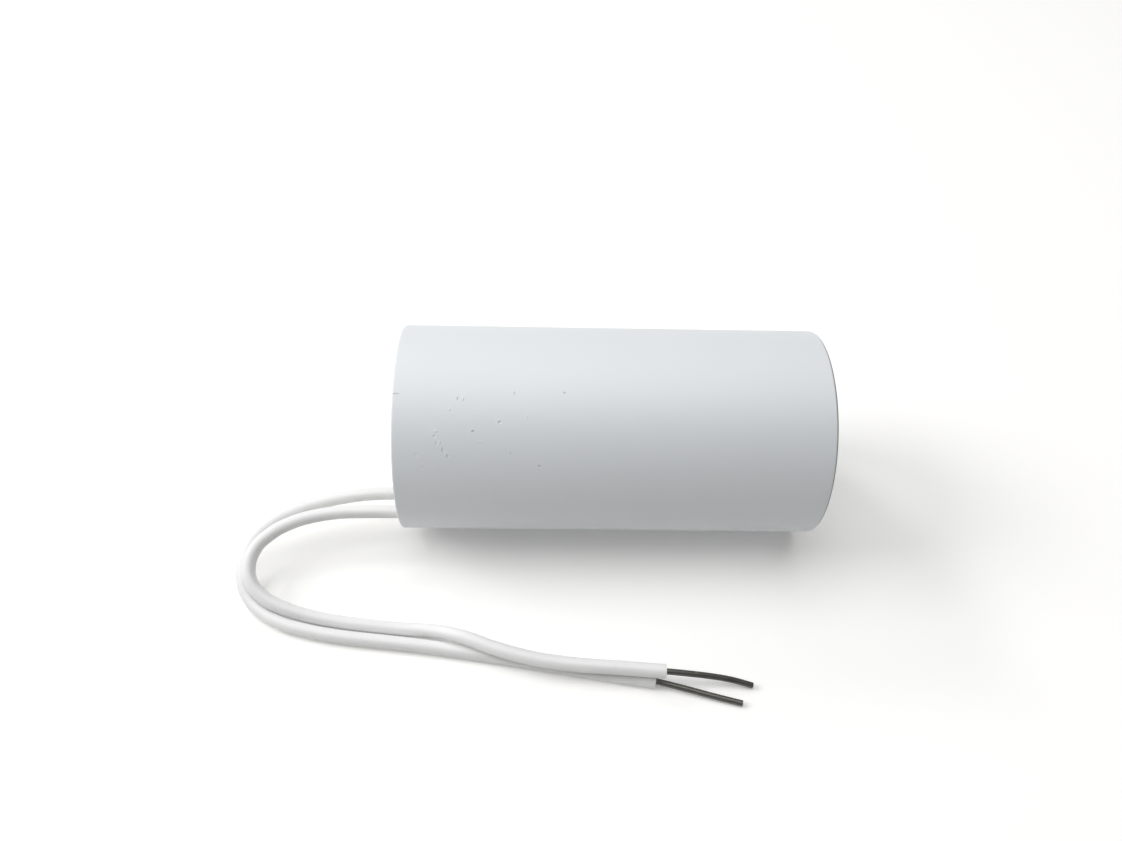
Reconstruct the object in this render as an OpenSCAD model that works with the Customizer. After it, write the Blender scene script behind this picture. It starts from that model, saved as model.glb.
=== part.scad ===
// Motor run capacitor with wire leads: a moulded cup that holds a wound film
// element in resin, lying on its side with two solid-core leads bent round in
// front of it. Inner pieces are drawn upright, standing on the closed base of
// the cup, and lay_down() turns them so that the base faces +X.

/* [Case] */
// Outside diameter of the moulded cup
case_d = 35; // [32:0.5:40]
// Outside length of the cup, from its base to its rim
case_len = 70; // [60:1:90]
// Wall thickness at the rim
case_wall = 1.2; // [1:0.1:2]
// How much thicker the wall gets on its way down to the base
case_draft = 0.2; // [0:0.05:0.4]
// Thickness of the closed base
case_base = 2; // [1.5:0.1:3]
// Radius of the outer edge of the base
edge_r = 0.5; // [0.2:0.1:1]
// Radius of the rounded rim
rim_r = 0.3; // [0.1:0.05:0.45]
// Radius of the inner corner between wall and base
corner_r = 1; // [0.5:0.1:2]

/* [Gate mark in the base] */
// Diameter of the shallow dimple round the moulding gate
dimple_d = 7; // [4:0.5:12]
// Depth of the dimple
dimple_depth = 0.5; // [0.3:0.1:0.8]
// Diameter of the stub that the gate leaves
stub_d = 1.4; // [0.8:0.1:2.5]
// Height of the stub, less than the dimple is deep
stub_h = 0.25; // [0.1:0.05:0.25]

/* [Ribs inside the case] */
// Height of the base ribs, which the element stands on
standoff = 3; // [2.5:0.1:5]
// Number of base ribs
base_ribs = 3; // [3:1:4]
// Number of wall ribs, which centre the element
wall_ribs = 4; // [3:1:6]
// Thickness of every rib
rib_t = 1.2; // [0.8:0.1:1.6]
// Height of the wall ribs above the base
wall_rib_h = 22; // [12:1:30]
// Length of the sloping lead-in at the top of a wall rib
rib_lead_in = 5; // [2:0.5:8]
// Width of the flat that the lead-in leaves at the top, beside the wall
rib_land = 0.3; // [0.2:0.1:0.6]
// Clearance between a wall rib and the element
rib_gap = 0.15; // [0.05:0.05:0.3]

/* [Wound element] */
// Diameter of the core tube that the film is wound on
core_d = 8; // [6:0.5:9]
// Wall thickness of the core tube
core_wall = 1; // [0.6:0.1:1.5]
// How far the core tube stands past each sprayed end
core_stub = 0.6; // [0.3:0.1:1.2]
// Thickness of each sprayed metal end
spray_t = 0.8; // [0.5:0.1:1.2]
// Thickness of the plain film wrapped round the roll
wrap_t = 0.3; // [0.2:0.05:0.6]

/* [Resin] */
// Depth of the resin surface below the rim
resin_recess = 1.2; // [0.8:0.1:3]
// Thickness of resin over the element at the lead end
resin_cover = 8; // [7:0.5:14]
// Size of the hollow fillet where the resin climbs the wall
wall_creep = 0.7; // [0.3:0.1:0.75]
// Size of the hollow fillet where the resin climbs a lead
lead_creep = 0.5; // [0.2:0.1:0.7]

/* [Leads] */
// Diameter over the insulation of a lead
lead_d = 2.3; // [2:0.1:2.6]
// Diameter of the solid conductor
wire_d = 1; // [0.8:0.05:1.2]
// Clearance between the front lead and the case wall
wall_gap = 0.15; // [0.1:0.05:0.4]
// Clearance between the front lead and the wrapped element
pack_gap = 0.2; // [0.1:0.05:0.4]
// How much nearer the axis the rear lead leaves than the front one
rear_inset = 2.8; // [2.4:0.1:4]
// Place of the front lead, from straight down towards the front, in degrees
front_clock = 54; // [48:1:60]
// Place of the rear lead, counted the same way
rear_clock = 40; // [20:1:42]
// Bend radius of a conductor inside the case, at its centre
wire_bend = 1.5; // [1.2:0.1:2]
// Length of conductor left bare before it reaches a sprayed end
inner_strip = 2.5; // [2.2:0.1:4]
// Length of the front lead's bare end, which is slightly curved
front_tip_len = 14.6; // [10:0.1:15]
// Radius of that curve
front_tip_r = 90; // [60:5:200]
// Length of the rear lead's bare end, which is straight
rear_tip_len = 14.1; // [10:0.1:16]

/* [Solder] */
// Diameter of a solder dome
solder_d = 4.4; // [3.6:0.1:5]
// Height of a solder dome
solder_h = 1.5; // [1.3:0.1:1.8]
// Distance of a solder dome's centre inside the edge of the roll
solder_inset = 4.6; // [4:0.1:5]

/* [Hidden] */
$fn = 96;

// How far a cut runs past the piece that it cuts
over = 1;
// Shares of a hollow fillet's size: how high it stands before its thin top is
// cut blunt, and how far its curve dips so that it meets the level at an angle
creep_top = 0.6;
creep_dip = 0.05;

case_r = case_d / 2;
lead_r = lead_d / 2;
wire_r = wire_d / 2;
core_r = core_d / 2;
mouth_r = case_r - case_wall;
foot_r = mouth_r - case_draft;

// Heights above the outside of the base
resin_z = case_len - resin_recess;
pack_z0 = case_base + standoff;
pack_z1 = resin_z - resin_cover;
film_z0 = pack_z0 + spray_t;
film_z1 = pack_z1 - spray_t;

// Distances from the axis: the front lead sets how fat the element can be
front_r = foot_r - wall_gap - lead_r;
rear_r = front_r - rear_inset;
wrap_r = front_r - lead_r - pack_gap;
film_r = wrap_r - wrap_t;
solder_r = film_r - solder_inset;
wire_end_r = solder_r - solder_d / 4;

front_turn = 180 + front_clock;
rear_turn = 180 + rear_clock;

// Where a lead leaves the resin, in the lying frame
function exit_point(r, clock) =
    [resin_recess - case_len / 2, -r * sin(clock), case_r - r * cos(clock)];
front_exit = exit_point(front_r, front_clock);
rear_exit = exit_point(rear_r, rear_clock);
straight = [-4, 0, 0];

// The leads' centre lines after their straight start. A lead on the table has
// its centre at height on_table, and the front one rides on the rear one at
// height on_rear.
on_table = 1.15;
on_rear = 3.5;
front_points = [
    [-42, -12.1, 8.9], [-46, -12.3, 8.9], [-50, -12.9, 8.7], [-54, -14.1, 8.3],
    [-57.5, -16, 7.5], [-59.8, -18.3, 6.4], [-60.5, -20.9, 5.3], [-59.9, -23.3, 4.3],
    [-57.9, -25.4, 3.3], [-54.6, -27, 2.4], [-50.5, -28, 1.6], [-46, -28.8, 1.2],
    [-40, -29.6, on_table], [-34, -30.3, 1.3], [-29, -31, 2.1], [-24, -32.6, 3.2],
    [-19, -34.6, on_rear], [-13, -36.3, on_rear], [-6, -37.4, on_rear],
    [1, -37.9, on_rear], [8.7, -38.5, on_rear]];
rear_points = [
    [-42, -8, 8.3], [-46, -8.6, 8.1], [-50, -9.5, 7.8], [-54, -10.8, 7.3],
    [-58, -12.9, 6.4], [-60.7, -15.5, 5.3], [-61.9, -18.5, 4], [-61.9, -21.6, 2.8],
    [-60.7, -24.5, 1.7], [-58.2, -27, 1.2], [-54.5, -29.2, on_table],
    [-50, -30.6, on_table], [-44, -31.7, on_table], [-37, -32.5, on_table],
    [-30, -33.3, on_table], [-23, -34.3, on_table], [-16, -35.4, on_table],
    [-9, -36.6, on_table], [-2, -37.7, on_table], [3, -38.5, on_table],
    [7.2, -39.1, on_table]];
front_route = concat([front_exit, front_exit + straight], front_points);
rear_route = concat([rear_exit, rear_exit + straight], rear_points);

// Directions in which the bare ends start: turned about Z and sloping down, in
// degrees, with the plane of the front one's curve rolled from level
front_tip_turn = -0.5;
front_tip_slope = 8.8;
front_tip_roll = 35;
rear_tip_turn = -13.9;
rear_tip_slope = 2.4;
cord_sides = 8;

// Turns an upright piece so that the cup's base faces +X and it lies on z = 0
module lay_down()
    translate([case_len / 2, 0, case_r]) rotate([0, -90, 0]) children();

// A plain cylinder between two heights
module rod(r, z0, z1)
    translate([0, 0, z0]) cylinder(r = r, h = z1 - z0);

// ---- Case ----

// Half section of the space inside the cup, tapered, with a rounded corner
module cavity_section() {
    polygon([[0, case_base], [foot_r - corner_r, case_base], [foot_r, case_base + corner_r],
        [mouth_r, case_len], [mouth_r, case_len + over], [0, case_len + over]]);
    translate([foot_r - corner_r, case_base + corner_r]) circle(r = corner_r);
}

// Half section of the cup's outside, with its edge and rim rounded
module cup_section() {
    square([case_r - edge_r, case_len]);
    translate([0, edge_r]) square([case_r, case_len - edge_r - rim_r]);
    translate([case_r - edge_r, edge_r]) circle(r = edge_r);
    translate([case_r - rim_r, case_len - rim_r]) circle(r = rim_r);
}

// One rib that carries the element, from beside the core out into the wall
module base_rib() {
    inner = core_r + rib_t;
    translate([inner, -rib_t / 2, case_base / 2])
        cube([foot_r + case_wall / 2 - inner, rib_t, pack_z0 - case_base / 2]);
}

// One rib that centres the element, with a sloping lead-in at its top
module wall_rib() {
    inner = wrap_r + rib_gap;
    outer = foot_r + case_wall / 2;
    top = case_base + wall_rib_h;
    translate([0, rib_t / 2, 0]) rotate([90, 0, 0]) linear_extrude(rib_t)
        polygon([[inner, case_base / 2], [outer, case_base / 2], [outer, top],
            [foot_r - rib_land, top], [inner, top - rib_lead_in]]);
}

module ribs() {
    for (i = [0 : base_ribs - 1])
        rotate(front_turn + (i + 0.5) * 360 / base_ribs) base_rib();
    for (i = [0 : wall_ribs - 1])
        rotate(front_turn + (i + 0.5) * 360 / wall_ribs) wall_rib();
}

module case() color([0.86, 0.88, 0.9]) lay_down() {
    difference() {
        rotate_extrude() cup_section();
        rotate_extrude() cavity_section();
        rod(dimple_d / 2, -over, dimple_depth);
    }
    rod(stub_d / 2, dimple_depth - stub_h, dimple_depth);
    ribs();
}

// ---- Wound element ----

module core_tube() color([0.93, 0.92, 0.88]) lay_down() difference() {
    rod(core_r, pack_z0 - core_stub, pack_z1 + core_stub);
    rod(core_r - core_wall, 0, case_len);
}

// A ring round the core between two heights
module ring(r, z0, z1) difference() {
    rod(r, z0, z1);
    rod(core_r, z0 - over, z1 + over);
}

module film_winding() color([0.62, 0.64, 0.66]) lay_down() ring(film_r, film_z0, film_z1);

module end_spray_base() color([0.5, 0.51, 0.52]) lay_down() ring(film_r, pack_z0, film_z0);

module end_spray_mouth() color([0.5, 0.51, 0.52]) lay_down() ring(film_r, film_z1, pack_z1);

module film_wrap() color([0.85, 0.8, 0.5]) lay_down() difference() {
    rod(wrap_r, film_z0, film_z1);
    rod(film_r, film_z0 - over, film_z1 + over);
}

// ---- Leads inside the case ----

// A conductor that comes down at distance r from the axis, bends inwards and
// lies with its centre at height z
module bent_wire(r, z, turn) rotate(turn) {
    translate([r, 0, 0]) rod(wire_r, z + wire_bend, resin_z);
    translate([r - wire_bend, 0, z + wire_bend]) rotate([90, 0, 0]) rotate(270)
        rotate_extrude(angle = 90) translate([wire_bend, 0]) circle(r = wire_r);
    translate([wire_end_r, 0, z]) rotate([0, 90, 0])
        cylinder(r = wire_r, h = r - wire_bend - wire_end_r);
}

module front_wire() bent_wire(front_r, pack_z0 - wire_r, front_turn);

module rear_wire() bent_wire(rear_r, pack_z1 + wire_r, rear_turn);

// The insulation of a lead between two heights, as a full rod
module insulation(r, turn, z0, z1) rotate(turn) translate([r, 0, 0]) rod(lead_r, z0, z1);

module front_insulation(top)
    insulation(front_r, front_turn, pack_z0 + inner_strip, top);

module rear_insulation(top)
    insulation(rear_r, rear_turn, pack_z1 + inner_strip, top);

module front_lead_root() color([0.93, 0.93, 0.94]) lay_down() difference() {
    front_insulation(resin_z);
    front_wire();
}

module rear_lead_root() color([0.93, 0.93, 0.94]) lay_down() difference() {
    rear_insulation(resin_z);
    rear_wire();
}

module front_lead_wire() color([0.45, 0.42, 0.4]) lay_down() front_wire();

module rear_lead_wire() color([0.45, 0.42, 0.4]) lay_down() rear_wire();

// A low dome of solder on the plane z = 0, rising along +Z
module dome() {
    ball_r = (solder_d * solder_d / 4 + solder_h * solder_h) / (2 * solder_h);
    intersection() {
        translate([0, 0, solder_h - ball_r]) sphere(r = ball_r);
        cylinder(d = solder_d, h = solder_h);
    }
}

module base_dome() rotate(front_turn) translate([solder_r, 0, pack_z0]) mirror([0, 0, 1]) dome();

module mouth_dome() rotate(rear_turn) translate([solder_r, 0, pack_z1]) dome();

module solder_base() color([0.7, 0.71, 0.72]) lay_down() difference() {
    base_dome();
    front_wire();
}

module solder_mouth() color([0.7, 0.71, 0.72]) lay_down() difference() {
    mouth_dome();
    rear_wire();
}

// ---- Resin ----

// Section of a hollow fillet of the given size on the line y = 0 and against
// the line x = 0, past which it runs by half its size
module creep(size) difference() {
    translate([-size, -size / 2]) square([size + size / 2, size / 2 + size * creep_top]);
    translate([-size, size - size * creep_dip]) circle(r = size);
}

// The resin that climbs one lead
module lead_collar(r, turn)
    rotate(turn) translate([r, 0, resin_z]) rotate_extrude()
        translate([lead_r, 0]) mirror([1, 0]) creep(lead_creep);

// Everything of the element that the resin flows round
module element() {
    difference() {
        union() {
            rod(film_r, pack_z0, pack_z1);
            rod(wrap_r, film_z0, film_z1);
            rod(core_r, pack_z0 - core_stub, pack_z1 + core_stub);
        }
        rod(core_r - core_wall, 0, case_len);
    }
    front_wire();
    rear_wire();
    front_insulation(case_len);
    rear_insulation(case_len);
    base_dome();
    mouth_dome();
}

module potting() color([0.78, 0.77, 0.74]) lay_down() difference() {
    intersection() {
        rotate_extrude() cavity_section();
        union() {
            rod(case_r, 0, resin_z);
            rotate_extrude() translate([mouth_r, resin_z]) creep(wall_creep);
            lead_collar(front_r, front_turn);
            lead_collar(rear_r, rear_turn);
        }
    }
    element();
    ribs();
}

// ---- Leads outside the case ----

function unit(v) = v / norm(v);

function heading(p, i) = unit(p[min(i + 1, len(p) - 1)] - p[max(i - 1, 0)]);

// The corners of the section at point i, square to the route and upright
function section_at(p, i, r) =
    let(ahead = heading(p, i), side = unit(cross(ahead, [0, 0, 1])), up = cross(side, ahead))
    [for (k = [0 : cord_sides - 1]) let(a = k * 360 / cord_sides)
        p[i] + r * (cos(a) * side + sin(a) * up)];

// A plain tube along the points of a route
module cord(route, r) {
    n = cord_sides;
    rings = len(route);
    polyhedron(
        points = [for (i = [0 : rings - 1]) each section_at(route, i, r)],
        faces = concat(
            [[for (k = [0 : n - 1]) k]],
            [for (i = [0 : rings - 2], k = [0 : n - 1])
                [i * n + k, (i + 1) * n + k, (i + 1) * n + (k + 1) % n, i * n + (k + 1) % n]],
            [[for (k = [n - 1 : -1 : 0]) (rings - 1) * n + k]]),
        convexity = 4);
}

module front_lead() color([0.95, 0.95, 0.96]) cord(front_route, lead_r);

module rear_lead() color([0.95, 0.95, 0.96]) cord(rear_route, lead_r);

// Keeps what lies past the end face of a lead's insulation
module past_end(route) {
    last = len(route) - 1;
    ahead = heading(route, last);
    difference() {
        children();
        translate(route[last]) rotate(atan2(ahead[1], ahead[0]))
            translate([-lead_d, -lead_d, -lead_d]) cube([lead_d, 2 * lead_d, 2 * lead_d]);
    }
}

// Puts a piece drawn along +X at the end of a route, turned and sloping down,
// and started a little way inside the insulation
module at_end(route, turn, slope)
    translate(route[len(route) - 1]) rotate([0, slope, turn]) translate([-wire_r, 0, 0])
        children();

module front_lead_tip() color([0.36, 0.33, 0.31]) past_end(front_route)
    at_end(front_route, front_tip_turn, front_tip_slope) rotate([front_tip_roll, 0, 0])
        translate([0, -front_tip_r, 0]) {
            arc = (front_tip_len + wire_r) / front_tip_r * 180 / PI;
            rotate(90 - arc) rotate_extrude(angle = arc)
                translate([front_tip_r, 0]) circle(r = wire_r);
        }

module rear_lead_tip() color([0.36, 0.33, 0.31]) past_end(rear_route)
    at_end(rear_route, rear_tip_turn, rear_tip_slope)
        rotate([0, 90, 0]) cylinder(r = wire_r, h = rear_tip_len + wire_r);

case();
potting();
core_tube();
film_winding();
film_wrap();
end_spray_base();
end_spray_mouth();
solder_base();
solder_mouth();
front_lead_root();
rear_lead_root();
front_lead_wire();
rear_lead_wire();
front_lead();
rear_lead();
front_lead_tip();
rear_lead_tip();
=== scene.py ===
"""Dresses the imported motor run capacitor: a moulded case lying on its side, with two
stiff insulated leads that leave its resin-filled end and lie bent round in front of it."""

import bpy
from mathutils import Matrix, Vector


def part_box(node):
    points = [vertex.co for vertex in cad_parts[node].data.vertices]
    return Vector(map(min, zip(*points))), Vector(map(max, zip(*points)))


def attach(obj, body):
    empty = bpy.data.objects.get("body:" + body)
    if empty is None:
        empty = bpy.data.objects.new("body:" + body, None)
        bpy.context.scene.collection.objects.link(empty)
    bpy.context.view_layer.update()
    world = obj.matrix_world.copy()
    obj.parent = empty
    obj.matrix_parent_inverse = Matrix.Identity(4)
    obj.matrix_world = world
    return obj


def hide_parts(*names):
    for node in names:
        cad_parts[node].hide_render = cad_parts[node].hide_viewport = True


bl_info = {
    "name": "Motor Run Capacitor",
    "version": (1, 0, 0),
    "blender": (4, 5, 0),
    "location": "View3D > Sidebar > Capacitor",
    "description": "Models and finishes a cylindrical motor run capacitor with wire leads",
    "category": "Object",
}

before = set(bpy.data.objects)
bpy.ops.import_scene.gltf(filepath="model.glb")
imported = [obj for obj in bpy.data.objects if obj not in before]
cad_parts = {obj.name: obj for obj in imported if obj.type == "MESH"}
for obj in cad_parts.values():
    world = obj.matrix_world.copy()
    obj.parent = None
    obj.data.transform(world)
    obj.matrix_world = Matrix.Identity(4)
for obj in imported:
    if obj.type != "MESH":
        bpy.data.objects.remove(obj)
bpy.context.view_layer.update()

import math

import bmesh
import bpy
from bpy.props import FloatProperty, FloatVectorProperty, IntProperty, PointerProperty
from mathutils import Matrix, Vector
from mathutils.geometry import interpolate_bezier

BODY = "root"

CASE_LOW, CASE_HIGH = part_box("case")
CASE_LENGTH = CASE_HIGH.x - CASE_LOW.x
CASE_RADIUS = (CASE_HIGH.z - CASE_LOW.z) / 2
AXIS_Z = (CASE_HIGH.z + CASE_LOW.z) / 2

# How near a point has to be, in metres, to count as being at a place.
TOUCHING = 1e-6
CLOSE = 1e-5
NEARBY = 1e-4

# Small roundings and fits, in metres.
MOUTH_ROUNDING = 0.00008
DIMPLE_ROUNDING = 0.00012
CUT_ROUNDING = 0.0001
INSULATION_ROUNDING = 0.00012
BORE_CLEARANCE = 0.00005
BORE_DEPTH = 0.0004
HIDDEN_WIRE = 0.0006

# The mix node's two colours and its result are sockets that have to be named by number.
FIRST_COLOUR, SECOND_COLOUR, MIXED_COLOUR = 6, 7, 2


def root_end(node):
    """Where a lead's hidden part ends at the resin's surface: its axis, at its lowest x."""
    low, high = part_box(node)
    return Vector((low.x, (low.y + high.y) / 2, (low.z + high.z) / 2))


FRONT_EXIT = root_end("front_lead_root")
REAR_EXIT = root_end("rear_lead_root")
STRAIGHT = Vector((-0.004, 0, 0))
ON_TABLE = 0.00115
ON_REAR = 0.0035

# The leads' centre lines after their straight start, as in the part's source.
FRONT_POINTS = [
    (-0.042, -0.0121, 0.0089), (-0.046, -0.0123, 0.0089), (-0.050, -0.0129, 0.0087),
    (-0.054, -0.0141, 0.0083), (-0.0575, -0.016, 0.0075), (-0.0598, -0.0183, 0.0064),
    (-0.0605, -0.0209, 0.0053), (-0.0599, -0.0233, 0.0043), (-0.0579, -0.0254, 0.0033),
    (-0.0546, -0.027, 0.0024), (-0.0505, -0.028, 0.0016), (-0.046, -0.0288, 0.0012),
    (-0.040, -0.0296, ON_TABLE), (-0.034, -0.0303, 0.0013), (-0.029, -0.031, 0.0021),
    (-0.024, -0.0326, 0.0032), (-0.019, -0.0346, ON_REAR), (-0.013, -0.0363, ON_REAR),
    (-0.006, -0.0374, ON_REAR), (0.001, -0.0379, ON_REAR), (0.0087, -0.0385, ON_REAR)]
REAR_POINTS = [
    (-0.042, -0.008, 0.0083), (-0.046, -0.0086, 0.0081), (-0.050, -0.0095, 0.0078),
    (-0.054, -0.0108, 0.0073), (-0.058, -0.0129, 0.0064), (-0.0607, -0.0155, 0.0053),
    (-0.0619, -0.0185, 0.004), (-0.0619, -0.0216, 0.0028), (-0.0607, -0.0245, 0.0017),
    (-0.0582, -0.027, 0.0012), (-0.0545, -0.0292, ON_TABLE), (-0.050, -0.0306, ON_TABLE),
    (-0.044, -0.0317, ON_TABLE), (-0.037, -0.0325, ON_TABLE), (-0.030, -0.0333, ON_TABLE),
    (-0.023, -0.0343, ON_TABLE), (-0.016, -0.0354, ON_TABLE), (-0.009, -0.0366, ON_TABLE),
    (-0.002, -0.0377, ON_TABLE), (0.003, -0.0385, ON_TABLE), (0.0072, -0.0391, ON_TABLE)]
FRONT_ROUTE = [FRONT_EXIT, FRONT_EXIT + STRAIGHT] + [Vector(p) for p in FRONT_POINTS]
REAR_ROUTE = [REAR_EXIT, REAR_EXIT + STRAIGHT] + [Vector(p) for p in REAR_POINTS]
# The bare ends go on from there, down to the table.
FRONT_BARE_POINTS = [(0.0125, -0.0386, 0.00292), (0.0162, -0.0387, 0.0022),
                     (0.0197, -0.03895, 0.0014), (0.0229, -0.0395, 0.00062)]
REAR_BARE_POINTS = [(0.0118, -0.0402, 0.00095), (0.0164, -0.0414, 0.00075),
                    (0.0209, -0.0425, 0.00056)]
FRONT_LEAD_LENGTH = 0.1053
REAR_LEAD_LENGTH = 0.1097

# Pits and scuffs on the front of the case, all in metres apart from the angle: place
# along the axis, degrees from the top towards the front, half its length along the
# axis, half its width, and its depth, which is negative where a lip stands up.
MARKS = [
    (-0.0344, 23.4, 0.0009, 0.00012, 0.00008), (-0.0281, 42.4, 0.0004, 0.00022, -0.00005),
    (-0.0282, 45.0, 0.0003, 0.00025, 0.00006), (-0.0279, 48.6, 0.0002, 0.0004, 0.00006),
    (-0.0274, 48.0, 0.0002, 0.00035, -0.00005), (-0.0270, 52.1, 0.00016, 0.0005, 0.0001),
    (-0.0265, 54.8, 0.0002, 0.00045, -0.00006), (-0.0261, 55.2, 0.00016, 0.0004, 0.00007),
    (-0.0247, 25.6, 0.00018, 0.0004, 0.00008), (-0.0239, 25.6, 0.00018, 0.0004, -0.00006),
    (-0.0260, 31.2, 0.0002, 0.00035, -0.00005), (-0.02225, 42.3, 0.00028, 0.00024, 0.00016),
    (-0.0212, 47.6, 0.0006, 0.00012, -0.00006), (-0.0181, 37.4, 0.0003, 0.0003, 0.0001),
    (-0.0159, 22.4, 0.00015, 0.0004, 0.00006), (-0.0140, 34.3, 0.00015, 0.0004, -0.00005),
    (-0.0164, 53.5, 0.00015, 0.0004, 0.00007), (-0.0119, 59.9, 0.00025, 0.0002, 0.00014),
    (-0.0311, 54.7, 0.0005, 0.0003, 0.00004), (-0.0302, 61.3, 0.0005, 0.0003, 0.00004),
    (-0.0081, 21.6, 0.0002, 0.0002, 0.00009)]
DEEPEST_MARK = max(mark[-1] for mark in MARKS)

# Name, place, width, height and watts of each lamp; all of them face the case.
LAMPS = [
    ("window", (-1.3, 1.4, 1.4), 0.5, 0.5, 10),
    ("side_window", (-1.7, 0.15, 1.3), 1.2, 1.0, 24),
    ("ceiling", (-0.05, 0.05, 0.9), 0.8, 0.8, 5)]
LAMP_AIM = Vector((0, 0, 0.01))
FLOOR_SIDE = 6
FLOOR_COLOUR = (0.9, 0.895, 0.875, 1)
WHITE = (1, 1, 1, 1)


# ---- Settings ----

class CapacitorSizes(bpy.types.PropertyGroup):
    """The sizes that a user would change"""
    wall: FloatProperty(
        name="Rim wall", description="Thickness of the case's wall at its rim",
        default=0.0012, min=0.0005, unit="LENGTH")
    wall_growth: FloatProperty(
        name="Wall growth", description="How much thicker the wall is at its foot",
        default=0.0002, min=0, unit="LENGTH")
    base: FloatProperty(
        name="Base", description="Thickness of the case's closed end",
        default=0.002, min=0.001, unit="LENGTH")
    edge_radius: FloatProperty(
        name="Edge radius", description="Radius of the edge round the closed end",
        default=0.0005, min=0.0001, unit="LENGTH")
    rim_radius: FloatProperty(
        name="Rim radius", description="Radius of the rounding on the rim's outer edge",
        default=0.0003, min=0.0001, unit="LENGTH")
    corner_radius: FloatProperty(
        name="Corner radius", description="Radius between the wall and the base inside",
        default=0.001, min=0.0002, unit="LENGTH")
    dimple_radius: FloatProperty(
        name="Dimple radius", description="Radius of the dimple round the gate mark",
        default=0.0035, min=0.001, unit="LENGTH")
    dimple_depth: FloatProperty(
        name="Dimple depth", description="Depth of the dimple round the gate mark",
        default=0.0005, min=0.0001, unit="LENGTH")
    stub_radius: FloatProperty(
        name="Gate stub radius", description="Radius of the stub that the gate leaves",
        default=0.0007, min=0.0002, unit="LENGTH")
    stub_height: FloatProperty(
        name="Gate stub height", description="Height of the stub that the gate leaves",
        default=0.00025, min=0.0001, unit="LENGTH")
    case_sides: IntProperty(
        name="Case sides", description="How many sides the round case is made with",
        default=256, min=32, max=512)
    lead_diameter: FloatProperty(
        name="Lead diameter", description="Diameter over a lead's insulation",
        default=0.0023, min=0.001, unit="LENGTH")
    wire_diameter: FloatProperty(
        name="Wire diameter", description="Diameter of a lead's solid conductor",
        default=0.001, min=0.0004, unit="LENGTH")


class CapacitorColours(bpy.types.PropertyGroup):
    """The colours of the surfaces that show"""
    case: FloatVectorProperty(
        name="Case", description="Colour of the moulded case",
        default=(0.80, 0.83, 0.855), subtype="COLOR", min=0, max=1)
    resin: FloatVectorProperty(
        name="Resin", description="Colour of the resin that fills the case",
        default=(0.62, 0.61, 0.57), subtype="COLOR", min=0, max=1)
    insulation: FloatVectorProperty(
        name="Insulation", description="Colour of the leads' insulation",
        default=(0.86, 0.86, 0.86), subtype="COLOR", min=0, max=1)
    conductor: FloatVectorProperty(
        name="Conductor", description="Colour of the bare conductors",
        default=(0.155, 0.152, 0.138), subtype="COLOR", min=0, max=1)


class CapacitorStage(bpy.types.PropertyGroup):
    """The camera and the light"""
    camera_place: FloatVectorProperty(
        name="Camera place", description="Where the camera stands",
        default=(-0.01253, -0.1020, 0.13906), subtype="TRANSLATION", unit="LENGTH")
    camera_aim: FloatVectorProperty(
        name="Camera aim", description="The point that the camera looks at",
        default=(-0.00752, 0.01671, 0), subtype="TRANSLATION", unit="LENGTH")
    camera_roll: FloatProperty(
        name="Camera roll", description="How far the camera is turned about its own view",
        default=math.radians(2.577), subtype="ANGLE")
    lens: FloatProperty(
        name="Lens", description="Focal length on a sensor 36 mm wide, in millimetres",
        default=29.19, min=10)
    sky: FloatProperty(
        name="Sky", description="Strength of the even light from all round",
        default=0.07, min=0)
    floor_glow: FloatProperty(
        name="Floor glow", description="How much of the floor's white is its own",
        default=0.2, min=0, max=1)


# ---- Materials ----

class Value:
    """A socket that carries a value, with which shader maths is written as expressions"""

    def __init__(self, nodes, socket):
        self.nodes = nodes
        self.socket = socket

    def maths(self, operation, first, second):
        return self.nodes.node("ShaderNodeMath", {"operation": operation}, [first, second])

    def __add__(self, other):
        return self.maths("ADD", self, other)

    def __sub__(self, other):
        return self.maths("SUBTRACT", self, other)

    def __rsub__(self, other):
        return self.maths("SUBTRACT", other, self)

    def __mul__(self, other):
        return self.maths("MULTIPLY", self, other)

    __radd__ = __add__
    __rmul__ = __mul__


class Nodes:
    """The nodes of one material or world, all made through one method"""

    def __init__(self, owner, output):
        owner.use_nodes = True
        self.tree = owner.node_tree
        self.tree.nodes.clear()
        self.output = self.tree.nodes.new(output)

    def node(self, kind, settings=None, values=None, output=0):
        """Adds a node: its settings first, then the values or links of its sockets"""
        made = self.tree.nodes.new(kind)
        for name, setting in (settings or {}).items():
            setattr(made, name, setting)
        pairs = values.items() if isinstance(values, dict) else enumerate(values or [])
        for key, value in pairs:
            self.feed(made.inputs[key], value)
        return Value(self, made.outputs[output])

    def feed(self, socket, value):
        """Links a value to a socket, or sets the socket to a plain value"""
        if isinstance(value, Value):
            self.tree.links.new(value.socket, socket)
        else:
            socket.default_value = value

    def vector_maths(self, operation, values, output=0):
        return self.node("ShaderNodeVectorMath", {"operation": operation}, values, output)

    def ray(self, name):
        """1 for the rays of one kind and 0 for the others"""
        return self.node("ShaderNodeLightPath", output="Is " + name + " Ray")

    def shown(self, shader):
        """Makes a shader what the material or world shows"""
        self.feed(self.output.inputs["Surface"], shader)


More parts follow.
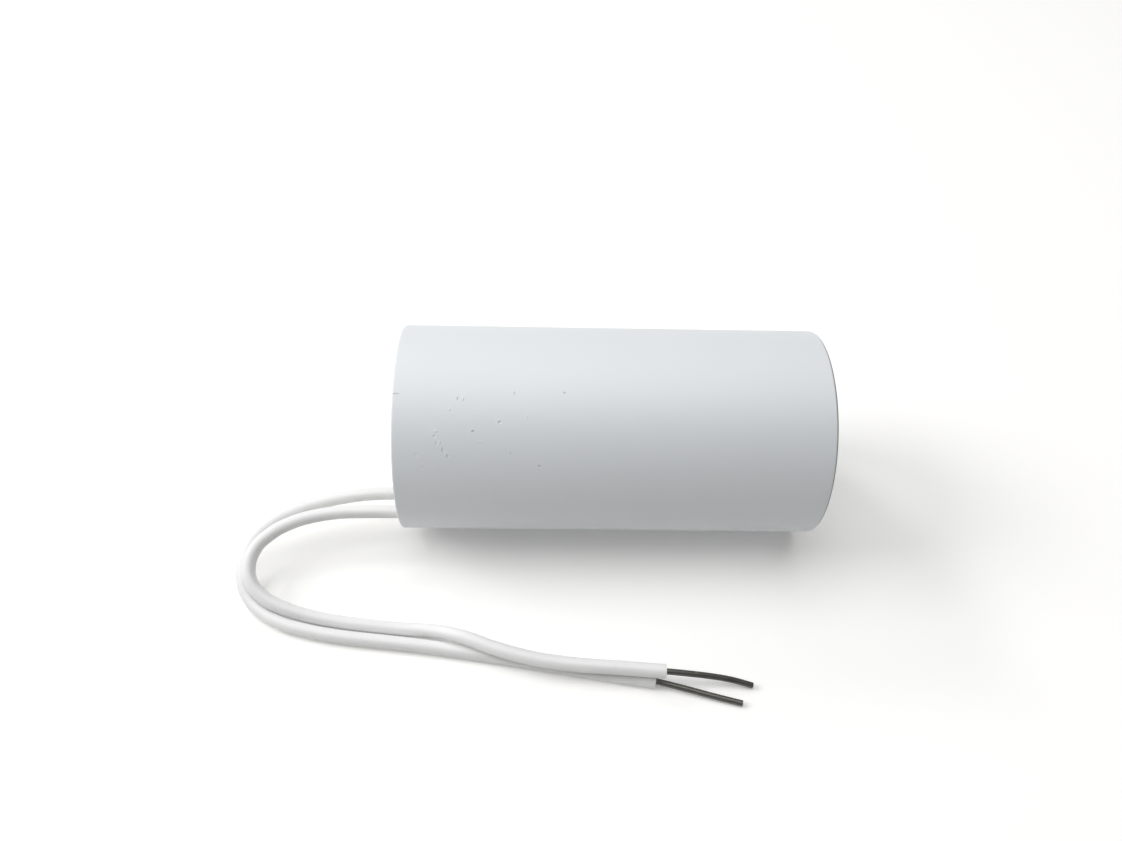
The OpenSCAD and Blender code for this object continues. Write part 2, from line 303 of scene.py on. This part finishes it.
class Finish(Nodes):
    """One procedural material"""

    def __init__(self, name):
        self.material = bpy.data.materials.new(name)
        super().__init__(self.material, "ShaderNodeOutputMaterial")

    def place(self):
        """The place on the piece, in metres"""
        return self.node("ShaderNodeTexCoord", output="Object")

    def noise(self, place, size, detail=2, roughness=0.5):
        """Noise from 0 to 1 whose features are about the given size in metres"""
        values = {"Vector": place, "Scale": 1 / size, "Detail": detail, "Roughness": roughness}
        return self.node("ShaderNodeTexNoise", None, values)

    def stretched(self, place, scale):
        """The place with each axis multiplied, so that a pattern gets drawn out"""
        return self.vector_maths("MULTIPLY", [place, scale])

    def step(self, value, low, high):
        """0 below low, 1 above high and smooth between them"""
        values = {"Value": value, "From Min": low, "From Max": high}
        return self.node("ShaderNodeMapRange", {"interpolation_type": "SMOOTHSTEP"}, values)

    def spot(self, place, centre, halves):
        """1 in the middle of a soft-edged spot and 0 outside it"""
        away = self.vector_maths("SUBTRACT", [place, centre])
        share = self.stretched(away, [1 / half for half in halves])
        return 1 - self.step(self.vector_maths("LENGTH", [share], "Value"), 0.3, 1)

    def mix(self, share, first, second):
        """One colour turned into another by a share"""
        values = {"Factor": share}
        for socket, colour in ((FIRST_COLOUR, first), (SECOND_COLOUR, second)):
            values[socket] = (*colour, 1) if isinstance(colour, tuple) else colour
        return self.node("ShaderNodeMix", {"data_type": "RGBA"}, values, MIXED_COLOUR)

    def bump(self, height):
        """A normal bent by a height in metres"""
        values = {"Height": height, "Distance": 1, "Strength": 1}
        return self.node("ShaderNodeBump", None, values)

    def surface(self, colour, roughness, height=None, **others):
        """Ends the material with its shader; others are sockets, with _ for a space"""
        values = {"Base Color": colour, "Roughness": roughness, "IOR": 1.5}
        if height is not None:
            values["Normal"] = self.bump(height)
        values.update({name.replace("_", " "): value for name, value in others.items()})
        self.shown(self.node("ShaderNodeBsdfPrincipled", None, values))
        return self.material


def shade(colour, factor):
    """A colour made lighter or darker by a factor"""
    return tuple(min(1, part * factor) for part in colour)


def on_case(x, degrees):
    """The point on the case's wall at that place along and that angle round it"""
    turn = math.radians(degrees)
    return Vector((x, -CASE_RADIUS * math.sin(turn), AXIS_Z + CASE_RADIUS * math.cos(turn)))


def painted_edge_shade(finish, place):
    """1 along a hairline round the edge of the case's base, and 0 elsewhere: where the painted shade
    line goes
    """
    along = finish.node("ShaderNodeSeparateXYZ", None, [place])
    begins = finish.step(along, CASE_HIGH.x - 0.0004, CASE_HIGH.x - 0.0002)
    ends = finish.step(along, CASE_HIGH.x - 0.0001, CASE_HIGH.x - 0.00002)
    return begins * (1 - ends)


def case_finish(colours):
    """Satin moulded plastic with a fine grain and a few pits and scuffs, painted shade in the pits and
    a painted shade line round the base's edge
    """
    finish = Finish("moulded_case")
    place = finish.place()
    cloud = finish.noise(place, 0.02, 3)
    grain = finish.noise(place, 0.0005, 2)
    swell = finish.noise(place, 0.006, 2)
    height = grain * 0.000004 + swell * 0.00003
    # Painted shade in the pits: each pit's colour is darkened more the deeper it is.
    pit_shade = 0
    for x, degrees, along, across, depth in MARKS:
        mark = finish.spot(place, on_case(x, degrees), (along, across, across))
        height = height - mark * depth
        if depth > 0:
            pit_shade = mark * (depth / DEEPEST_MARK) + pit_shade
    tone = finish.mix(cloud, shade(colours.case, 0.985), shade(colours.case, 1.01))
    tone = finish.mix(pit_shade * 0.2, tone, shade(colours.case, 0.35))
    # A painted shade line round the rounded edge of the base, darkening the case's colour there.
    tone = finish.mix(painted_edge_shade(finish, place) * 0.75, tone, shade(colours.case, 0.2))
    return finish.surface(tone, 0.42 + grain * 0.12, height, IOR=1.46)


def resin_finish(colours):
    """Poured resin: glossy, gently uneven, with a few burst bubbles darkened by painted shade"""
    finish = Finish("poured_resin")
    place = finish.place()
    cloud = finish.noise(place, 0.008, 4, 0.6)
    swell = finish.noise(place, 0.009, 1)
    cells = finish.node("ShaderNodeTexVoronoi", None, {"Vector": place, "Scale": 260, "Randomness": 1})
    bubble = 1 - finish.step(cells, 0.06, 0.12)
    height = swell * 0.0006 - bubble * 0.00012
    tone = finish.mix(cloud, shade(colours.resin, 0.93), shade(colours.resin, 1.05))
    # Painted shade in the burst bubbles' craters.
    tone = finish.mix(bubble * 0.4, tone, shade(colours.resin, 0.6))
    return finish.surface(tone, 0.16 + cloud * 0.16, height, IOR=1.55)


def insulation_finish(colours):
    """Extruded insulation: satin, with faint handling marks"""
    finish = Finish("lead_insulation")
    place = finish.place()
    cloud = finish.noise(place, 0.004, 3)
    grain = finish.noise(place, 0.0004, 2)
    smudge = finish.step(finish.noise(place, 0.0028, 4, 0.65), 0.62, 0.78)
    height = grain * 0.000006 + cloud * 0.00003
    tone = finish.mix(cloud, shade(colours.insulation, 0.98), shade(colours.insulation, 1.01))
    tone = finish.mix(smudge * 0.12, tone, (0.55, 0.53, 0.5))
    return finish.surface(
        tone, 0.38 + cloud * 0.12, height, IOR=1.53,
        Subsurface_Weight=0.4, Subsurface_Radius=(1, 1, 1), Subsurface_Scale=0.0008)


def conductor_finish(colours):
    """Drawn solid wire, darkened, with fine lines along it and a few scrapes"""
    finish = Finish("bare_conductor")
    place = finish.place()
    lines = finish.noise(finish.stretched(place, (0.06, 1, 1)), 0.00012, 3)
    cloud = finish.noise(place, 0.0016, 4, 0.6)
    streak = finish.noise(finish.stretched(place, (0.3, 1, 1)), 0.0004, 3)
    scrape = finish.step(streak, 0.6, 0.72)
    height = lines * 0.00003 + cloud * 0.00002 - scrape * 0.00001
    tone = finish.mix(cloud, shade(colours.conductor, 0.7), shade(colours.conductor, 1.25))
    tone = finish.mix(scrape * 0.5, tone, shade(colours.conductor, 2.0))
    return finish.surface(tone, 0.34 + cloud * 0.2, height, Metallic=0.85)


def core_finish():
    """The plastic of the core tube"""
    finish = Finish("core_plastic")
    cloud = finish.noise(finish.place(), 0.003, 3)
    tone = finish.mix(cloud, (0.78, 0.76, 0.7), (0.86, 0.84, 0.78))
    return finish.surface(tone, 0.45 + cloud * 0.1)


def film_finish():
    """Metallised film, wound so tightly that its edges show as fine rings"""
    finish = Finish("metallised_film")
    place = finish.vector_maths("SUBTRACT", [finish.place(), (0, 0, AXIS_Z)])
    radius = finish.vector_maths("LENGTH", [finish.stretched(place, (0, 1, 1))], "Value")
    half_turn = 0.0001
    turns = finish.node("ShaderNodeMath", {"operation": "PINGPONG"}, [radius, half_turn])
    turns = turns * (1 / half_turn)
    tone = finish.mix(turns, (0.5, 0.52, 0.55), (0.72, 0.74, 0.76))
    return finish.surface(tone, 0.25 + turns * 0.2, turns * 0.00002, Metallic=0.9)


def wrap_finish():
    """Clear yellowish film wrapped round the roll, with faint wrinkles"""
    finish = Finish("wrap_film")
    wrinkle = finish.noise(finish.stretched(finish.place(), (0.3, 1, 1)), 0.003, 4)
    tone = finish.mix(wrinkle, (0.66, 0.6, 0.3), (0.78, 0.72, 0.42))
    return finish.surface(tone, 0.2 + wrinkle * 0.15, wrinkle * 0.0002)


def spray_finish():
    """Flame-sprayed zinc: dull, grey and coarse"""
    finish = Finish("sprayed_zinc")
    grit = finish.noise(finish.place(), 0.0004, 5, 0.7)
    tone = finish.mix(grit, (0.22, 0.23, 0.24), (0.5, 0.51, 0.52))
    return finish.surface(tone, 0.6 + grit * 0.25, grit * 0.00025, Metallic=0.7)


def solder_finish():
    """Solder that has flowed and cooled dull"""
    finish = Finish("solder")
    flow = finish.noise(finish.place(), 0.0012, 3)
    tone = finish.mix(flow, (0.52, 0.53, 0.54), (0.7, 0.71, 0.72))
    return finish.surface(tone, 0.3 + flow * 0.2, flow * 0.00015, Metallic=1)


# ---- Modelling ----

def start(add, **settings):
    """Adds a primitive with nothing else selected and returns its object"""
    bpy.ops.object.select_all(action="DESELECT")
    add(**settings)
    return bpy.context.object


def select_only(piece):
    """Makes a piece the only one that is selected, and the active one"""
    bpy.ops.object.select_all(action="DESELECT")
    piece.select_set(True)
    bpy.context.view_layer.objects.active = piece


def pick(piece, kind, test):
    """In edit mode, selects the faces or edges that pass a test, which may be none"""
    bpy.ops.mesh.select_all(action="DESELECT")
    bpy.context.tool_settings.mesh_select_mode = (False, kind == "edges", kind == "faces")
    mesh = bmesh.from_edit_mesh(piece.data)
    for part in getattr(mesh, kind):
        if test(part):
            part.select_set(True)
    mesh.select_flush(True)
    bmesh.update_edit_mesh(piece.data)


def middle(face):
    """The middle of a face's corners"""
    return sum((corner.co for corner in face.verts), Vector()) / len(face.verts)


def off_axis(point):
    """A point's distance from the case's axis"""
    return math.hypot(point.y, point.z - AXIS_Z)


def on_ring(x, radius):
    """A test for the edges of the ring at that place along the axis and that radius"""
    def test(edge):
        return all(
            abs(corner.co.x - x) < TOUCHING and abs(off_axis(corner.co) - radius) < CLOSE
            for corner in edge.verts)
    return test


def end_cap(x, radius):
    """A test for the flat round face that ends at that place and radius"""
    def test(face):
        return (abs(face.normal.x) > 0.99 and abs(middle(face).x - x) < TOUCHING
                and max(off_axis(corner.co) for corner in face.verts) < radius + CLOSE)
    return test


def push(distance):
    """Extrudes the selected face along the case's axis"""
    bpy.ops.mesh.extrude_region_move(TRANSFORM_OT_translate={"value": (distance, 0, 0)})


def round_edge(piece, x, radius, size, segments):
    """Bevels one ring of edges"""
    pick(piece, "edges", on_ring(x, radius))
    bpy.ops.mesh.bevel(
        offset=size, offset_type="OFFSET", segments=segments, profile=0.5,
        affect="EDGES", clamp_overlap=False)


def dress(piece, material, slot, *nodes):
    """Gives a piece its material, lets it ride and stand for CAD nodes; the slot is not used"""
    piece.data.materials.clear()
    piece.data.materials.append(material)
    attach(piece, BODY)
    if nodes:
        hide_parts(*nodes)


def make_case(sizes):
    """The moulded cup, from a cylinder hollowed from its lead end"""
    shell = start(
        bpy.ops.mesh.primitive_cylinder_add, vertices=sizes.case_sides, radius=CASE_RADIUS,
        depth=CASE_LENGTH, end_fill_type="NGON", location=(0, 0, AXIS_Z),
        rotation=(0, math.pi / 2, 0))
    shell.name = "case_shell"
    select_only(shell)
    bpy.ops.object.transform_apply(location=True, rotation=True, scale=True)
    mouth = CASE_RADIUS - sizes.wall
    foot = mouth - sizes.wall_growth
    floor = CASE_HIGH.x - sizes.base
    bpy.ops.object.mode_set(mode="EDIT")
    # The cavity: the rim's width is inset, the rest pushed down and drawn in a little.
    pick(shell, "faces", end_cap(CASE_LOW.x, CASE_RADIUS))
    bpy.ops.mesh.inset(thickness=sizes.wall, use_even_offset=True)
    push(floor - CASE_LOW.x)
    bpy.ops.transform.resize(
        value=(1, foot / mouth, foot / mouth), center_override=(floor, 0, AXIS_Z))
    # The dimple in the base, with the gate's stub in its middle.
    pick(shell, "faces", end_cap(CASE_HIGH.x, CASE_RADIUS))
    bpy.ops.mesh.inset(thickness=CASE_RADIUS - sizes.dimple_radius)
    push(-sizes.dimple_depth)
    bpy.ops.mesh.inset(thickness=sizes.dimple_radius - sizes.stub_radius)
    push(sizes.stub_height)
    round_edge(shell, CASE_HIGH.x, CASE_RADIUS, sizes.edge_radius, 6)
    round_edge(shell, CASE_LOW.x, CASE_RADIUS, sizes.rim_radius, 5)
    round_edge(shell, CASE_LOW.x, mouth, MOUTH_ROUNDING, 2)
    round_edge(shell, floor, foot, sizes.corner_radius, 6)
    round_edge(shell, CASE_HIGH.x, sizes.dimple_radius, DIMPLE_ROUNDING, 3)
    bpy.ops.object.mode_set(mode="OBJECT")
    bpy.ops.object.shade_smooth_by_angle(angle=math.radians(35))
    return shell


def cord_line(name, route, radius):
    """A curve through a route's points, as thick as the lead or wire that follows it"""
    curve = bpy.data.curves.new(name, "CURVE")
    curve.dimensions = "3D"
    curve.twist_mode = "Z_UP"
    curve.bevel_depth = radius
    curve.bevel_resolution = 6
    curve.resolution_u = 8
    curve.use_fill_caps = True
    spline = curve.splines.new("BEZIER")
    spline.bezier_points.add(len(route) - 1)
    for knot, place in zip(spline.bezier_points, route):
        knot.co = place
        knot.handle_left_type = knot.handle_right_type = "AUTO"
    piece = bpy.data.objects.new(name, curve)
    bpy.context.scene.collection.objects.link(piece)
    bpy.context.view_layer.update()
    return piece


def centre_line(piece):
    """The points along the curve's middle, eight to each of its stretches"""
    knots = piece.data.splines[0].bezier_points
    points = [knots[0].co.copy()]
    for here, there in zip(knots[:-1], knots[1:]):
        points += interpolate_bezier(
            here.co, here.handle_right, there.handle_left, there.co, 9)[1:]
    return points


def to_mesh(piece):
    """Turns a curve into a mesh whose ends are closed faces"""
    select_only(piece)
    bpy.ops.object.convert(target="MESH")
    bpy.ops.object.mode_set(mode="EDIT")
    bpy.ops.mesh.select_all(action="SELECT")
    bpy.ops.mesh.remove_doubles(threshold=TOUCHING)
    bpy.ops.mesh.normals_make_consistent(inside=False)
    bpy.ops.object.mode_set(mode="OBJECT")
    return piece


def is_cap_at(place, reach=NEARBY):
    """A test for the many-sided face that closes a tube within reach of that place"""
    def test(face):
        return len(face.verts) > 6 and (middle(face) - place).length < reach
    return test


def round_cut(piece, place, size, segments, profile):
    """Opens a tube in edit mode and rounds the cut's edge, if its cap is found there"""
    bpy.ops.object.mode_set(mode="EDIT")
    pick(piece, "faces", is_cap_at(place))
    bpy.ops.mesh.bevel(offset=size, segments=segments, profile=profile, affect="EDGES")


def make_lead(name, node, route, sizes, finish):
    """One insulated lead, cut square at its stripped end, with its bore round the wire"""
    lead = cord_line(name, route, sizes.lead_diameter / 2)
    path = centre_line(lead)
    to_mesh(lead)
    tip = route[-1]
    ahead = (route[-1] - route[-2]).normalized()
    round_cut(lead, tip, INSULATION_ROUNDING, 3, 0.6)
    pick(lead, "faces", is_cap_at(tip, 2 * NEARBY))
    thickness = (sizes.lead_diameter - sizes.wire_diameter) / 2
    bpy.ops.mesh.inset(thickness=thickness - INSULATION_ROUNDING - BORE_CLEARANCE)
    bpy.ops.mesh.extrude_region_move(
        TRANSFORM_OT_translate={"value": tuple(ahead * -BORE_DEPTH)})
    bpy.ops.object.mode_set(mode="OBJECT")
    bpy.ops.object.shade_smooth_by_angle(angle=math.radians(40))
    dress(lead, finish, "insulation", node)
    return lead


def make_bare_end(name, node, route, points, sizes, finish):
    """A stripped end of solid wire, nipped off by side cutters"""
    tip = route[-1]
    back = (route[-1] - route[-2]).normalized() * HIDDEN_WIRE
    line = [tip - back, tip] + [Vector(point) for point in points]
    wire = to_mesh(cord_line(name, line, sizes.wire_diameter / 2))
    round_cut(wire, line[-1], CUT_ROUNDING, 2, 0.5)
    bpy.ops.object.mode_set(mode="OBJECT")
    bpy.ops.object.shade_smooth_by_angle(angle=math.radians(40))
    dress(wire, finish, "conductor", node)
    return wire


# ---- Stage ----

def add_lamp(name, place, width, height, watts):
    """A soft rectangular lamp that faces the case"""
    light = bpy.data.lights.new(name, "AREA")
    light.shape = "RECTANGLE"
    light.size = width
    light.size_y = height
    light.energy = watts
    lamp = bpy.data.objects.new(name, light)
    lamp.location = place
    lamp.rotation_euler = (LAMP_AIM - lamp.location).to_track_quat("-Z", "Y").to_euler()
    bpy.context.scene.collection.objects.link(lamp)


def floor_finish(stage):
    """A white floor that keeps the shadows that fall on it"""
    finish = Finish("floor_white")
    lit = finish.node("ShaderNodeBsdfDiffuse", None, {"Color": FLOOR_COLOUR})
    glow = finish.node(
        "ShaderNodeEmission", None, {"Color": WHITE, "Strength": stage.floor_glow})
    seen = finish.node(
        "ShaderNodeMath", {"operation": "ADD", "use_clamp": True},
        [finish.ray("Camera") + finish.ray("Glossy"), finish.ray("Transmission")])
    both = finish.node("ShaderNodeAddShader", None, [lit, glow])
    finish.shown(finish.node("ShaderNodeMixShader", None, [seen, lit, both]))
    return finish.material


def light_world(stage):
    """Even light from all round, which is seen as white"""
    world = bpy.data.worlds.new("studio")
    bpy.context.scene.world = world
    nodes = Nodes(world, "ShaderNodeOutputWorld")
    white = nodes.node("ShaderNodeBackground", None, {"Color": WHITE})
    even = nodes.node("ShaderNodeBackground", None, {"Strength": stage.sky})
    nodes.shown(nodes.node("ShaderNodeMixShader", None, [nodes.ray("Camera"), even, white]))


def add_camera(stage):
    """The camera, above the front of the table"""
    data = bpy.data.cameras.new("camera")
    data.lens = stage.lens
    data.sensor_width = 36
    data.clip_start = 0.005
    camera = bpy.data.objects.new("camera", data)
    place = Vector(stage.camera_place)
    view = (Vector(stage.camera_aim) - place).to_track_quat("-Z", "Y").to_matrix().to_4x4()
    camera.matrix_world = view @ Matrix.Rotation(stage.camera_roll, 4, "Z")
    camera.location = place
    bpy.context.scene.collection.objects.link(camera)
    bpy.context.scene.camera = camera


# ---- Operators ----

class CAPACITOR_OT_stage(bpy.types.Operator):
    """Add the camera, the floor and the light"""
    bl_idname = "capacitor.stage"
    bl_label = "Stage"

    def execute(self, context):
        stage = context.scene.capacitor_stage
        add_camera(stage)
        floor = start(bpy.ops.mesh.primitive_plane_add, size=FLOOR_SIDE, location=(0, 0, 0))
        floor.name = "floor"
        floor.data.materials.append(floor_finish(stage))
        for lamp in LAMPS:
            add_lamp(*lamp)
        light_world(stage)
        bpy.context.scene.view_settings.view_transform = "Standard"
        return {"FINISHED"}


class CAPACITOR_OT_leads(bpy.types.Operator):
    """Add the insulated leads with their bare ends"""
    bl_idname = "capacitor.leads"
    bl_label = "Leads"

    def execute(self, context):
        sizes = context.scene.capacitor_sizes
        colours = context.scene.capacitor_colours
        insulation = insulation_finish(colours)
        conductor = conductor_finish(colours)
        for side, route, points, length in (
                ("front", FRONT_ROUTE, FRONT_BARE_POINTS, FRONT_LEAD_LENGTH),
                ("rear", REAR_ROUTE, REAR_BARE_POINTS, REAR_LEAD_LENGTH)):
            bare_end = make_bare_end(
                side + "_bare_end", side + "_lead_tip", route, points, sizes, conductor)
            make_lead(side + "_insulation", side + "_lead", route, sizes,
                      insulation)
        return {"FINISHED"}


class CAPACITOR_OT_case(bpy.types.Operator):
    """Add the moulded case"""
    bl_idname = "capacitor.case"
    bl_label = "Case"

    def execute(self, context):
        case = make_case(context.scene.capacitor_sizes)
        dress(case, case_finish(context.scene.capacitor_colours), "case_plastic", "case")
        return {"FINISHED"}


class CAPACITOR_OT_inside(bpy.types.Operator):
    """Finish the resin and the pieces inside it, which keep their own meshes"""
    bl_idname = "capacitor.inside"
    bl_label = "Resin and wound element"

    def execute(self, context):
        colours = context.scene.capacitor_colours
        spray, solder = spray_finish(), solder_finish()
        insulation, conductor = insulation_finish(colours), conductor_finish(colours)
        finishes = {
            "potting": resin_finish(colours), "core_tube": core_finish(),
            "film_winding": film_finish(), "film_wrap": wrap_finish(),
            "end_spray_base": spray, "end_spray_mouth": spray,
            "solder_base": solder, "solder_mouth": solder,
            "front_lead_root": insulation, "rear_lead_root": insulation,
            "front_lead_wire": conductor, "rear_lead_wire": conductor}
        for node, finish in finishes.items():
            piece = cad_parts[node]
            piece.data.materials.clear()
            piece.data.materials.append(finish)
        return {"FINISHED"}


class CAPACITOR_PT_panel(bpy.types.Panel):
    """Lists the capacitor's pieces, sizes and colours"""
    bl_label = "Capacitor"
    bl_idname = "CAPACITOR_PT_panel"
    bl_space_type = "VIEW_3D"
    bl_region_type = "UI"
    bl_category = "Capacitor"

    def draw(self, context):
        for operator in OPERATORS:
            self.layout.operator(operator.bl_idname)
        for name, group in GROUPS.items():
            for setting in group.__annotations__:
                self.layout.prop(getattr(context.scene, name), setting)


OPERATORS = (CAPACITOR_OT_stage, CAPACITOR_OT_leads, CAPACITOR_OT_case, CAPACITOR_OT_inside)
GROUPS = {
    "capacitor_sizes": CapacitorSizes,
    "capacitor_colours": CapacitorColours,
    "capacitor_stage": CapacitorStage,
}


def register():
    for group in GROUPS.values():
        bpy.utils.register_class(group)
    for operator in OPERATORS:
        bpy.utils.register_class(operator)
    bpy.utils.register_class(CAPACITOR_PT_panel)
    for name, group in GROUPS.items():
        setattr(bpy.types.Scene, name, PointerProperty(type=group))


def unregister():
    for name in GROUPS:
        delattr(bpy.types.Scene, name)
    bpy.utils.unregister_class(CAPACITOR_PT_panel)
    for operator in reversed(OPERATORS):
        bpy.utils.unregister_class(operator)
    for group in reversed(list(GROUPS.values())):
        bpy.utils.unregister_class(group)


def main():
    """Makes every piece in order"""
    register()
    bpy.ops.capacitor.stage()
    bpy.ops.capacitor.leads()
    bpy.ops.capacitor.case()
    bpy.ops.capacitor.inside()


if __name__ == "__main__":
    main()
